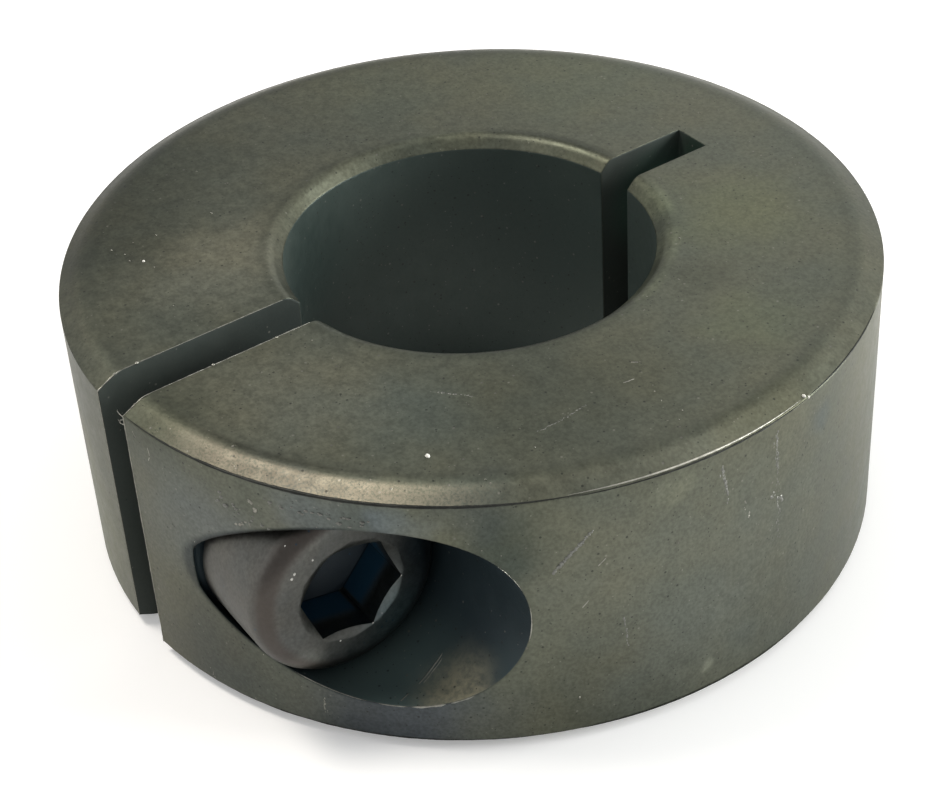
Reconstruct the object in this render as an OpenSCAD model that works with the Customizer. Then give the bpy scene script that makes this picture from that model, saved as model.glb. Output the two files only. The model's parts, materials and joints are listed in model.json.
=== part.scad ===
// One-piece clamping ring for a round shaft, with its clamp screw.
// The ring is turned, slit through on one side and relieved by a slot on the other,
// so that the screw can draw its two jaws together round the shaft.
// +Z runs along the bore, and the origin is the bore's centre on the bottom face.
// The slit lies towards -Y, the relief slot towards +Y, and the screw's head towards +X.

/* [Ring] */
// Diameter of the shaft that the ring clamps
bore_d = 16; // [13:0.5:18]
// Outer diameter
ring_d = 35; // [32:0.5:42]
// Width along the shaft
ring_w = 13; // [11:0.5:20]
// Chamfer at both ends of the bore, as wide as it is deep
bore_chamfer = 0.5; // [0.2:0.05:1]
// Radius of the soft turn between each face and its bore chamfer
bore_round = 0.6; // [0.2:0.1:1]
// Outer chamfer, measured across the face
rim_reach = 0.95; // [0.4:0.05:1.5]
// Outer chamfer, measured down the wall
rim_drop = 0.5; // [0.2:0.05:1]
// Radius of the soft turn between each face and its outer chamfer
rim_round = 2; // [0.3:0.1:2.5]

/* [Slots] */
// Width of the slit that parts the jaws
slit_w = 2.1; // [1:0.1:3]
// Width of the relief slot
relief_w = 1.85; // [1:0.05:3]
// Distance from the bore axis to the flat end of the relief slot
relief_reach = 12.5; // [10:0.05:14]

/* [Clamp screw] */
// Thread diameter
thread_d = 5; // [4:0.1:6]
// Length under the head
screw_l = 12; // [10:0.5:14]
// Chamfer on the thread's end, as wide as it is deep
tip_chamfer = 0.5; // [0.2:0.1:1]
// Head diameter
head_d = 8.5; // [7.5:0.1:9]
// Head height
head_h = 4.8; // [4.4:0.1:6]
// Radius of the head's outer edge
head_round = 0.9; // [0.2:0.1:1.2]
// Chamfer under the head, as wide as it is deep
head_foot = 0.25; // [0.1:0.05:0.4]
// Hexagon socket, across the flats
socket_af = 4; // [3:0.1:4.5]
// Depth of the socket's flats
socket_depth = 2.5; // [2:0.1:3]
// Turn of the socket about the screw axis, in degrees
socket_turn = 20; // [0:1:60]

/* [Screw seat] */
// Distance from the bore axis to the screw axis, in the middle of the slit
screw_reach = 12.35; // [12:0.05:13]
// How far the screw axis is out of square to the slit, in degrees
screw_skew = 2.5; // [0:0.5:4]
// Distance along the screw axis from the middle of the slit to the head's seat
seat_x = 4.4; // [3.5:0.1:6]
// Radius in the corner of the head's pocket
seat_round = 0.25; // [0.1:0.05:0.4]
// How far the pocket lies above the screw axis, which is halfway up the ring
pocket_rise = 0.2; // [0:0.05:0.2]
// Running gap under the head, so that the screw turns freely
seat_gap = 0.02; // [0.01:0.01:0.05]
// Radial gap between the head and its pocket
head_gap = 0.25; // [0.25:0.05:0.5]
// Radial gap round the screw in the plain jaw
shank_gap = 0.25; // [0.1:0.05:0.4]
// Radial running gap round the screw in the tapped jaw
thread_gap = 0.05; // [0.02:0.01:0.1]

/* [Hidden] */
$fn = 96;

bore_r = bore_d / 2;
ring_r = ring_d / 2;
thread_r = thread_d / 2;
head_r = head_d / 2;
pocket_r = head_r + head_gap;

// Length by which a cut runs past the surface it opens
overrun = 1;
// Straight steps in each rounded edge of a turned profile
round_steps = 6;

// Slope of the bore chamfer against the face
bore_slope = 45;
// Distance from the bore axis to the place where the inner soft turn leaves the face
bore_turn_r = bore_r + bore_chamfer + bore_round * tan(bore_slope / 2);
// Slope of the outer chamfer against the face
rim_slope = atan2(rim_drop, rim_reach);
// Distance from the bore axis to the place where the outer soft turn leaves the face
rim_turn_r = ring_r - rim_reach - rim_round * tan(rim_slope / 2);

// Corner of the hexagon socket, and the flare of its mouth down to the flats
socket_corner_r = socket_af / 2 / cos(30);
flare_angle = 60;
flare_h = socket_corner_r / tan(flare_angle);
// Drill point below the socket's flats
point_angle = 60;
point_h = socket_af / 2 / tan(point_angle);

// Places what is drawn along +Z on the screw axis, with its zero on the head's seat
module on_screw_axis() {
    translate([0, -screw_reach, ring_w / 2])
        rotate([0, 0, -screw_skew])
            translate([seat_x, 0, 0])
                rotate([0, 90, 0])
                    children();
}

// Half of the ring's section, from the bore wall across the bottom face to the outer wall
function half_section() = concat(
    [[bore_r, bore_chamfer]],
    [for (i = [0 : round_steps])
        let (angle = bore_slope * (1 - i / round_steps))
        [bore_turn_r - bore_round * sin(angle), bore_round * (1 - cos(angle))]],
    [for (i = [0 : round_steps])
        let (angle = rim_slope * i / round_steps)
        [rim_turn_r + rim_round * sin(angle), rim_round * (1 - cos(angle))]],
    [[ring_r, rim_drop]]
);

// The same points at the top face, in reverse order
function at_top(points) = [for (i = [len(points) - 1 : -1 : 0]) [points[i][0], ring_w - points[i][1]]];

// Ring as it comes off the lathe
module turned_blank() {
    rotate_extrude()
        polygon(concat(half_section(), at_top(half_section())));
}

// Straight cut through the whole width, from the bore axis towards -Y or +Y
module saw_cut(width, reach, direction) {
    near_y = min(0, direction * reach);
    translate([-width / 2, near_y, -overrun])
        cube([width, reach, ring_w + 2 * overrun]);
}

// Half of the pocket's section, from the middle of its seat out past the rim
function pocket_section() = concat(
    [[0, 0]],
    [for (i = [0 : round_steps])
        let (angle = 90 * i / round_steps)
        [pocket_r - seat_round * (1 - sin(angle)), seat_round * (1 - cos(angle))]],
    [[pocket_r, ring_r], [0, ring_r]]
);

// Counterbored pocket, plain hole and tapped hole along the screw axis
module screw_way() {
    translate([0, 0, pocket_rise])
        on_screw_axis()
            rotate_extrude()
                polygon(pocket_section());
    on_screw_axis() {
        translate([0, 0, -seat_x])
            cylinder(r = thread_r + shank_gap, h = seat_x + overrun);
        translate([0, 0, -seat_x - ring_r])
            cylinder(r = thread_r + thread_gap, h = ring_r);
    }
}

module ring() {
    color([0.30, 0.30, 0.27])
        difference() {
            turned_blank();
            saw_cut(slit_w, ring_r + overrun, -1);
            saw_cut(relief_w, relief_reach, 1);
            screw_way();
        }
}

// Turned outline of the screw, from the tip up to the head's face
function screw_section() = concat(
    [
        [0, -screw_l],
        [thread_r - tip_chamfer, -screw_l],
        [thread_r, tip_chamfer - screw_l],
        [thread_r, 0],
        [head_r - head_foot, 0],
        [head_r, head_foot]
    ],
    [for (i = [0 : round_steps])
        let (angle = 90 * i / round_steps)
        [head_r - head_round * (1 - cos(angle)), head_h - head_round * (1 - sin(angle))]],
    [[0, head_h]]
);

// Hexagon socket with a flared mouth and a drill point, cut down from the head's face
module socket() {
    translate([0, 0, -socket_depth])
        rotate([0, 0, socket_turn])
            cylinder(r = socket_corner_r, h = socket_depth + overrun, $fn = 6);
    translate([0, 0, -flare_h])
        cylinder(r1 = 0, r2 = socket_corner_r, h = flare_h);
    translate([0, 0, -socket_depth - point_h])
        cylinder(r1 = 0, r2 = socket_af / 2, h = point_h);
}

module clamp_screw() {
    color([0.24, 0.23, 0.22])
        on_screw_axis()
            translate([0, 0, seat_gap])
                difference() {
                    rotate_extrude()
                        polygon(screw_section());
                    translate([0, 0, head_h])
                        socket();
                }
}

ring();
clamp_screw();
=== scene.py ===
import json
import math

import bmesh
import bpy
from mathutils import Matrix, Vector, noise


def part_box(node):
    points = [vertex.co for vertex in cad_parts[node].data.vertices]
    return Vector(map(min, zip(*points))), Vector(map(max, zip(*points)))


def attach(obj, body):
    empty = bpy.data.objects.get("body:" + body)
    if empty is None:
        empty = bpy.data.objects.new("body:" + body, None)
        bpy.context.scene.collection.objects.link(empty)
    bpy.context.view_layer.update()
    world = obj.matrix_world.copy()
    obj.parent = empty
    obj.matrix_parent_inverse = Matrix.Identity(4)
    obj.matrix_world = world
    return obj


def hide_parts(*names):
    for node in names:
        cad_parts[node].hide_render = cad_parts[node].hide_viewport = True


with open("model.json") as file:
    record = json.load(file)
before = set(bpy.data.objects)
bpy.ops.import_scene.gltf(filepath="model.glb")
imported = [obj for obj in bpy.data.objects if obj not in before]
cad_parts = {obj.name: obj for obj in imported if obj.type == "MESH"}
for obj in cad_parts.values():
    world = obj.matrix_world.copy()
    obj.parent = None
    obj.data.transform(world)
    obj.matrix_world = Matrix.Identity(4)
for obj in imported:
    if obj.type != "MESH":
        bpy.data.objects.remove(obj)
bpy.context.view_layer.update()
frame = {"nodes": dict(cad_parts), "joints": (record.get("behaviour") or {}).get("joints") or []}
scene = bpy.context.scene
scene.view_settings.view_transform = "Standard"
mm = 0.001
print("frame loaded:", ", ".join(frame["nodes"]))


# sizes of the ring in millimetres, and places on it by angle

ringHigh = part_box("ring")[1] / mm
ringShape = {
    "radius": ringHigh.x,
    "top": ringHigh.z,
    "rimReach": 0.95,
    "rimDrop": 0.5,
    "slitHalf": 1.05,
    "boreEdge": 8.55,
    "pocketRadius": 4.5,
    "pocketRise": 0.2,          # the pocket lies above the screw's axis
}


def onTop(angle, radius, lift=0.0):
    turn = math.radians(angle)
    return Vector((radius * math.cos(turn), radius * math.sin(turn), ringShape["top"] + lift))


def onWall(angle, height, lift=0.0):
    turn = math.radians(angle)
    reach = ringShape["radius"] + lift
    return Vector((reach * math.cos(turn), reach * math.sin(turn), height))


# the screw's axis, taken from the frame's joint, and places round it

screwMiddle = Vector(frame["joints"][0]["pos_m"]) / mm
screwAlong = -Vector(frame["joints"][0]["axis"]).normalized()
screwSide = Vector((0, 0, 1)).cross(screwAlong)


def roundScrew(along, radius, angle, rise=0.0):
    out = screwSide * math.cos(angle) + Vector((0, 0, 1)) * math.sin(angle)
    return screwMiddle + screwAlong * along + out * radius + Vector((0, 0, rise))


def onPocket(along, angle):
    return roundScrew(along, ringShape["pocketRadius"], angle, ringShape["pocketRise"])


# camera

photoCamera = {
    "aim": (0.7, -0.7, 5.2),    # mm
    "azimuth": 56.03,
    "elevation": 37.0,
    "roll": -3.5,
    "distance": 98.3,           # mm
    "lens": 83.98,
}


def placeCamera(s):
    turn, rise, roll = (math.radians(s[key]) for key in ("azimuth", "elevation", "roll"))
    back = Vector((math.sin(turn) * math.cos(rise), -math.cos(turn) * math.cos(rise), math.sin(rise)))
    level = Vector((math.cos(turn), math.sin(turn), 0.0))
    steep = back.cross(level)
    right = level * math.cos(roll) + steep * math.sin(roll)
    up = back.cross(right)
    data = bpy.data.cameras.new("photoCamera")
    data.sensor_fit = "HORIZONTAL"
    data.lens = s["lens"]
    data.clip_start = 0.005
    camera = bpy.data.objects.new("photoCamera", data)
    scene.collection.objects.link(camera)
    spot = Vector(s["aim"]) * mm + back * s["distance"] * mm
    camera.matrix_world = Matrix((right, up, back)).transposed().to_4x4()
    camera.location = spot
    scene.camera = camera


placeCamera(photoCamera)
print("camera placed")


# small helpers for shader nodes

def put(tree, kind, values=None, **settings):
    node = tree.nodes.new("ShaderNode" + kind)
    for key, value in settings.items():
        setattr(node, key, value)
    for key, value in (values or {}).items():
        if isinstance(value, bpy.types.NodeSocket):
            tree.links.new(value, node.inputs[key])
        else:
            node.inputs[key].default_value = value
    return node


def calc(tree, operation, first, second=0.0, third=0.0):
    return put(tree, "Math", {0: first, 1: second, 2: third}, operation=operation).outputs[0]


def vecCalc(tree, operation, first, second):
    return put(tree, "VectorMath", {0: first, 1: second}, operation=operation).outputs[0]


def ramp(tree, value, low, high, start=0.0, end=1.0):
    values = {"Value": value, "From Min": low, "From Max": high, "To Min": start, "To Max": end}
    return put(tree, "MapRange", values, interpolation_type="SMOOTHSTEP").outputs[0]


def between(tree, value, rise, fall):
    return calc(tree, "MULTIPLY", ramp(tree, value, *rise), ramp(tree, value, *fall))


def overlap(tree, mask, *others):
    for other in others:
        mask = calc(tree, "MULTIPLY", mask, other)
    return mask


def blendColor(tree, factor, first, second, mode="MIX"):
    node = put(tree, "Mix", {0: factor, 6: first, 7: second}, data_type="RGBA", blend_type=mode)
    return node.outputs[2]


def millimetres(tree):
    place = put(tree, "TexCoord").outputs["Object"]
    return put(tree, "VectorMath", {0: place, "Scale": 1 / mm}, operation="SCALE").outputs[0]


def cloud(tree, place, scale, detail=2.0, roughness=0.5):
    values = {"Vector": place, "Scale": scale, "Detail": detail, "Roughness": roughness}
    return put(tree, "TexNoise", values).outputs[0]


# distance along the screw's axis and away from it
def fromScrew(tree, place, rise=0.0):
    away = vecCalc(tree, "SUBTRACT", place, tuple(screwMiddle + Vector((0, 0, rise))))
    values = {0: away, 1: tuple(screwAlong)}
    along = put(tree, "VectorMath", values, operation="DOT_PRODUCT").outputs["Value"]
    foot = put(tree, "VectorMath", {0: tuple(screwAlong), "Scale": along}, operation="SCALE").outputs[0]
    gap = put(tree, "VectorMath", {0: away, 1: foot}, operation="DISTANCE").outputs["Value"]
    return along, gap


def newGroup(name, takes, gives):
    group = bpy.data.node_groups.new(name, "ShaderNodeTree")
    for label, kind, value in takes:
        socket = group.interface.new_socket(label, in_out="INPUT", socket_type="NodeSocket" + kind)
        socket.default_value = value
    for label, kind in gives:
        group.interface.new_socket(label, in_out="OUTPUT", socket_type="NodeSocket" + kind)
    return group, group.nodes.new("NodeGroupInput"), group.nodes.new("NodeGroupOutput")


def useGroup(tree, group, values):
    node = tree.nodes.new("ShaderNodeGroup")
    node.node_tree = group
    for key, value in values.items():
        if isinstance(value, bpy.types.NodeSocket):
            tree.links.new(value, node.inputs[key])
        else:
            node.inputs[key].default_value = value
    return node


def newMaterial(name):
    material = bpy.data.materials.new(name)
    material.use_nodes = True
    tree = material.node_tree
    return material, tree, tree.nodes["Principled BSDF"]


# floor, world and lamps

studio = {
    "floorHalf": 400,           # mm
    "floorColor": (0.86, 0.86, 0.86, 1),
    "floorLift": 0.24,          # for the camera only, so that the paper stays white
    "ambient": 0.52,
}
studioLamps = [
    {"name": "overheadLeft", "toward": (-0.33, -0.27, 0.90), "distance": 260, "size": 70, "power": 0.34,
     "tint": (1.0, 0.94, 0.86)},
    {"name": "overheadRight", "toward": (0.17, 0.50, 0.85), "distance": 280, "size": 120, "power": 0.074,
     "tint": (1.0, 0.98, 0.94)},
    {"name": "backRight", "toward": (-0.42, 0.74, 0.52), "distance": 300, "size": 220, "power": 0.105,
     "tint": (1.0, 0.99, 0.95)},
    {"name": "lowRight", "toward": (0.55, 0.80, 0.22), "distance": 320, "size": 180, "power": 1.60,
     "tint": (0.99, 1.0, 0.98)},
    {"name": "lowLeft", "toward": (-0.35, -0.90, 0.35), "distance": 320, "size": 180, "power": 0.08,
     "tint": (1.0, 0.99, 0.96)},
]


def makeStudio(s, lamps):
    world = bpy.data.worlds.new("paleRoom")
    world.use_nodes = True
    scene.world = world
    tree = world.node_tree
    seen = put(tree, "LightPath").outputs["Is Camera Ray"]
    strength = ramp(tree, seen, 0.0, 1.0, s["ambient"], 1.0)
    tree.links.new(strength, tree.nodes["Background"].inputs["Strength"])
    tree.nodes["Background"].inputs["Color"].default_value = (1, 1, 1, 1)

    half = s["floorHalf"] * mm
    mesh = bpy.data.meshes.new("floor")
    corners = [(-half, -half, 0), (half, -half, 0), (half, half, 0), (-half, half, 0)]
    mesh.from_pydata(corners, [], [(0, 1, 2, 3)])
    floor = bpy.data.objects.new("floor", mesh)
    scene.collection.objects.link(floor)
    material, tree, shader = newMaterial("paleFloor")
    shader.inputs["Base Color"].default_value = s["floorColor"]
    shader.inputs["Roughness"].default_value = 0.9
    shader.inputs["Specular IOR Level"].default_value = 0.1
    shader.inputs["Emission Color"].default_value = (1, 1, 1, 1)
    lift = calc(tree, "MULTIPLY", put(tree, "LightPath").outputs["Is Camera Ray"], s["floorLift"])
    tree.links.new(lift, shader.inputs["Emission Strength"])
    mesh.materials.append(material)

    for lamp in lamps:
        data = bpy.data.lights.new(lamp["name"], "AREA")
        data.size = lamp["size"] * mm
        data.energy = lamp["power"]
        data.color = lamp["tint"]
        light = bpy.data.objects.new(lamp["name"], data)
        scene.collection.objects.link(light)
        away = Vector(lamp["toward"]).normalized()
        light.location = away * lamp["distance"] * mm
        light.rotation_euler = away.to_track_quat("Z", "Y").to_euler()


makeStudio(studio, studioLamps)
print("floor, world and lamps made")


# surface effects, one node group each; their lengths are in millimetres

def mottleGroup():
    takes = [("Place", "Vector", (0, 0, 0)), ("Warm", "Color", (0.13, 0.13, 0.10, 1)),
             ("Cool", "Color", (0.10, 0.115, 0.11, 1)), ("Cloud Scale", "Float", 0.22),
             ("Grain Scale", "Float", 6.5), ("Depth", "Float", 0.25)]
    gives = [("Color", "Color"), ("Roughness", "Float"), ("Height", "Float"), ("Broad", "Float")]
    group, take, give = newGroup("oxideMottle", takes, gives)
    place = take.outputs["Place"]
    broad = cloud(group, place, take.outputs["Cloud Scale"], 2.0, 0.6)
    patchScale = calc(group, "MULTIPLY", take.outputs["Cloud Scale"], 7.0)
    patch = cloud(group, place, patchScale, 3.5, 0.66)
    grain = cloud(group, place, take.outputs["Grain Scale"], 1.5, 0.6)
    hue = ramp(group, broad, 0.25, 0.75)
    tone = blendColor(group, hue, take.outputs["Cool"], take.outputs["Warm"])
    patchTone = ramp(group, patch, 0.25, 0.75, -0.5, 0.5)
    grainTone = ramp(group, grain, 0.25, 0.75, -0.5, 0.5)
    both = calc(group, "MULTIPLY_ADD", patchTone, 0.7, grainTone)
    gain = calc(group, "MULTIPLY_ADD", both, take.outputs["Depth"], 1.0)
    shaded = put(group, "VectorMath", {0: tone, "Scale": gain}, operation="SCALE").outputs[0]
    group.links.new(shaded, give.inputs["Color"])
    group.links.new(calc(group, "MULTIPLY", patchTone, 0.10), give.inputs["Roughness"])
    group.links.new(grain, give.inputs["Height"])
    group.links.new(broad, give.inputs["Broad"])
    return group


def speckGroup():
    takes = [("Place", "Vector", (0, 0, 0)), ("Scale", "Float", 2.2), ("Share", "Float", 0.12),
             ("Size", "Float", 0.16)]
    group, take, give = newGroup("pitSpecks", takes, [("Dark", "Float"), ("Light", "Float")])
    values = {"Vector": take.outputs["Place"], "Scale": take.outputs["Scale"]}
    cells = put(group, "TexVoronoi", values)
    size = calc(group, "MULTIPLY", take.outputs["Size"], 0.4)
    spot = ramp(group, cells.outputs["Distance"], take.outputs["Size"], size)
    chance = put(group, "SeparateColor", {"Color": cells.outputs["Color"]})
    dark = calc(group, "LESS_THAN", chance.outputs[0], take.outputs["Share"])
    light = calc(group, "LESS_THAN", chance.outputs[1], calc(group, "MULTIPLY", take.outputs["Share"], 0.35))
    group.links.new(calc(group, "MULTIPLY", spot, dark), give.inputs["Dark"])
    group.links.new(calc(group, "MULTIPLY", spot, light), give.inputs["Light"])
    return group


def patchGroup():
    takes = [("Place", "Vector", (0, 0, 0)), ("Centre", "Vector", (0, 0, 0)), ("Size", "Float", 5.0),
             ("Strength", "Float", 1.0)]
    group, take, give = newGroup("softPatch", takes, [("Mask", "Float")])
    values = {0: take.outputs["Place"], 1: take.outputs["Centre"]}
    gap = put(group, "VectorMath", values, operation="DISTANCE").outputs["Value"]
    soft = ramp(group, gap, take.outputs["Size"], calc(group, "MULTIPLY", take.outputs["Size"], 0.15))
    group.links.new(calc(group, "MULTIPLY", soft, take.outputs["Strength"]), give.inputs["Mask"])
    return group


mottle = mottleGroup()
specks = speckGroup()
softPatch = patchGroup()
print("surface effects made")


# stains and patches of painted shade and light each have a centre, a size, and a tint that the colour is
# multiplied by
def stainAndShadeOver(tree, color, place, stainsAndShading, strength=1.0):
    for centre, size, tint in stainsAndShading:
        values = {"Place": place, "Centre": centre, "Size": size, "Strength": strength}
        mask = useGroup(tree, softPatch, values).outputs["Mask"]
        color = blendColor(tree, mask, color, tint, "MULTIPLY")
    return color


# blackened steel of the ring, with the stains seen in the photograph, and with painted light and shade

ringFinish = {
    "warm": (0.120, 0.123, 0.089, 1),
    "cool": (0.104, 0.114, 0.090, 1),
    # the chamfer's wear, which in the rub patch is also a painted highlight
    "wornAndHighlit": (0.226, 0.206, 0.158, 1),
    # painted shade, a dark reflection painted on the turn between the top face and the outer chamfer
    "turned": (0.056, 0.062, 0.051, 1),
    # painted shade on the bore's chamfer and the face beside it
    "boreTurnShade": (0.84, 0.85, 0.85, 1),
    # the slots', the bore's and the pocket's colours: partly their own, partly painted light and shade
    "sawnAndShaded": (0.036, 0.048, 0.045, 1),
    "boredAndShaded": (0.052, 0.076, 0.072, 1),
    "pocket": (0.024, 0.040, 0.049, 1),
    # painted shade on the wall round the pocket's mouth, standing for the shading of its rounded edge
    "pocketRimShade": (0.40, 0.43, 0.46, 1),
    "pit": (0.030, 0.032, 0.030, 1),
    "fleck": (0.34, 0.33, 0.29, 1),
    "roughness": 0.42,
    "edgeRound": 0.13,
    "mottleDepth": (0.27, 0.29),    # on the wall and on the faces
    # the stir below also moves the edges of the painted shade and light among the stains
    "stir": 3.0,                    # how far the stains' edges wander
    # bands by distance from the bore's axis: where each starts, and where it is full
    "rubbed": (16.5, 16.8),
    "turnRise": (15.6, 16.25),
    "turnFall": (16.75, 16.3),
    "rimBand": (16.05, 16.4),
    "boreBand": (9.2, 8.8),
    "boreWall": (8.06, 8.02),
    "slotRise": (8.02, 8.1),
    "slotFall": (17.5, 17.46),
    "pocketFall": (17.49, 17.45),
    "haloRise": (17.40, 17.46),
    # bands across the slots, along the screw's axis, and out from the pocket's wall
    "slotHalf": (1.2, 1.1),
    "pocketStart": (4.2, 4.3),
    "haloEnd": (12.5, 9.5),
    "pocketSkin": (0.12, 0.03),
    "haloSkin": (0.17, 0.02),
    # how strongly each finish covers the one below
    "turnShare": 0.26,
    "paleRub": 0.09,
    "boreShare": 0.85,
    "slotShare": 0.85,
    "pocketShare": 0.97,
    "paintedGlowShare": 0.85,
    "pitShare": 0.72,
    "fleckShare": 0.3,
    # patches on the top face and the wall: stains, and painted shade and light, such as the bluish dark low
    # on the front wall
    "stainsAndShading": [
        (onTop(-130, 16.2), 6.5, (0.66, 0.67, 0.66, 1)),
        (onTop(-152, 16.2), 5.5, (0.74, 0.75, 0.74, 1)),
        (onTop(-119, 10.6), 5.0, (1.56, 1.48, 1.46, 1)),
        (onTop(-83, 17.2), 3.2, (0.70, 0.72, 0.70, 1)),
        (onTop(125, 14.5), 7.0, (1.10, 1.12, 1.04, 1)),
        (onTop(160, 14.0), 6.0, (1.10, 1.11, 1.06, 1)),
        (onTop(-68, 12.8), 5.0, (1.30, 1.26, 1.26, 1)),
        (onTop(-20, 12.6), 7.5, (0.78, 0.79, 0.78, 1)),
        (onTop(-45, 12.6), 4.5, (1.00, 1.06, 1.14, 1)),
        (onTop(60, 11.5), 4.5, (1.10, 1.13, 1.00, 1)),
        (onTop(33, 10.3), 2.0, (0.84, 0.85, 0.85, 1)),
        (onTop(22, 13.4), 3.0, (1.10, 1.12, 1.02, 1)),
        (onWall(-33, 9.9), 3.2, (0.56, 0.62, 0.66, 1)),
        (onWall(-47, 1.5), 6.0, (0.60, 0.65, 0.94, 1)),
        (onWall(-51, 11.0), 3.6, (0.80, 0.87, 1.06, 1)),
        (onWall(-44.5, 11.9), 1.6, (1.12, 1.18, 1.40, 1)),
        (onWall(-36, 12.4), 2.4, (0.72, 0.78, 0.92, 1)),
        (onWall(-57, 12.2), 2.2, (1.14, 1.16, 1.28, 1)),
        (onWall(-64, 9.0), 5.0, (1.06, 1.06, 1.16, 1)),
        (onWall(-73, 2.0), 5.0, (0.78, 0.80, 0.90, 1)),
        (onWall(-20, 2.0), 6.0, (0.84, 0.84, 0.84, 1)),
        (onWall(-13, 8.0), 8.0, (1.16, 1.16, 1.22, 1)),
        (onWall(-8, 2.6), 5.0, (1.18, 1.18, 1.22, 1)),
        (onWall(-75, 8.8), 4.5, (1.22, 1.24, 1.42, 1)),
        (onWall(-108, 4.0), 7.0, (1.40, 1.40, 1.30, 1)),
        (onWall(8, 5.0), 6.0, (1.04, 1.06, 1.12, 1)),
        (onWall(15.8, 11.0), 1.3, (0.86, 0.93, 1.08, 1)),
        (onWall(-5.2, 1.78), 0.55, (1.80, 1.80, 1.76, 1)),
        (onWall(1.3, 1.47), 0.40, (1.60, 1.60, 1.56, 1)),
        (onWall(-12, 11.7), 0.9, (1.22, 1.22, 1.20, 1)),
        (onWall(-9, 11.9), 0.9, (1.25, 1.25, 1.22, 1)),
    ],
    # painted light and shade on the outer chamfer alone
    "rimLightAndShade": [
        (onTop(-65, 17.2, -0.3), 6.5, (0.44, 0.44, 0.45, 1)),
        (onTop(-36, 17.2, -0.3), 3.0, (1.04, 1.07, 1.08, 1)),
        (onTop(8, 17.2, -0.3), 5.0, (0.88, 0.89, 0.86, 1)),
    ],
    # painted light and shade on the bore's chamfer alone
    "boreLightAndShade": [
        (onTop(107, 8.4), 2.6, (0.78, 0.79, 0.79, 1)),
        (onTop(70, 8.3), 2.4, (1.55, 1.55, 1.42, 1)),
        (onTop(45, 8.1), 2.2, (1.60, 1.60, 1.46, 1)),
        (onTop(24, 8.1), 2.0, (1.45, 1.45, 1.32, 1)),
        (onTop(125, 8.6), 3.6, (0.86, 0.86, 0.88, 1)),
        (onTop(150, 8.4), 2.6, (1.18, 1.18, 1.16, 1)),
    ],
    # centre and size of the rub patch, where the wear shows fully as a painted highlight
    "rubHighlight": (onTop(-56, 17.0, -0.25), 9.0),
    # painted light on the pocket's floor: centre, size and tint
    "paintedGlow": (onPocket(13.5, -1.10), 3.0, (0.43, 0.400, 0.275, 1)),
    # shaded and lit places in the pocket, the slit and the bore
    "shades": [
        (onPocket(10.6, -1.45), 4.4, (3.9, 3.5, 2.8, 1)),
        (onPocket(14.6, -0.75), 2.4, (1.3, 1.3, 1.2, 1)),
        (Vector((0.4, 12.5, 12.4)), 1.7, (0.34, 0.58, 0.44, 1)),
        (Vector((0.0, 11.0, 10.0)), 3.4, (1.30, 2.20, 1.90, 1)),
        (Vector((-0.9, 9.4, 12.6)), 2.6, (0.72, 0.74, 0.73, 1)),
        (Vector((-1.05, -9.0, 11.5)), 3.6, (0.55, 0.60, 0.60, 1)),
        (Vector((-7.0, -3.9, 10.0)), 4.0, (0.70, 0.76, 0.76, 1)),
    ],
}


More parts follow.
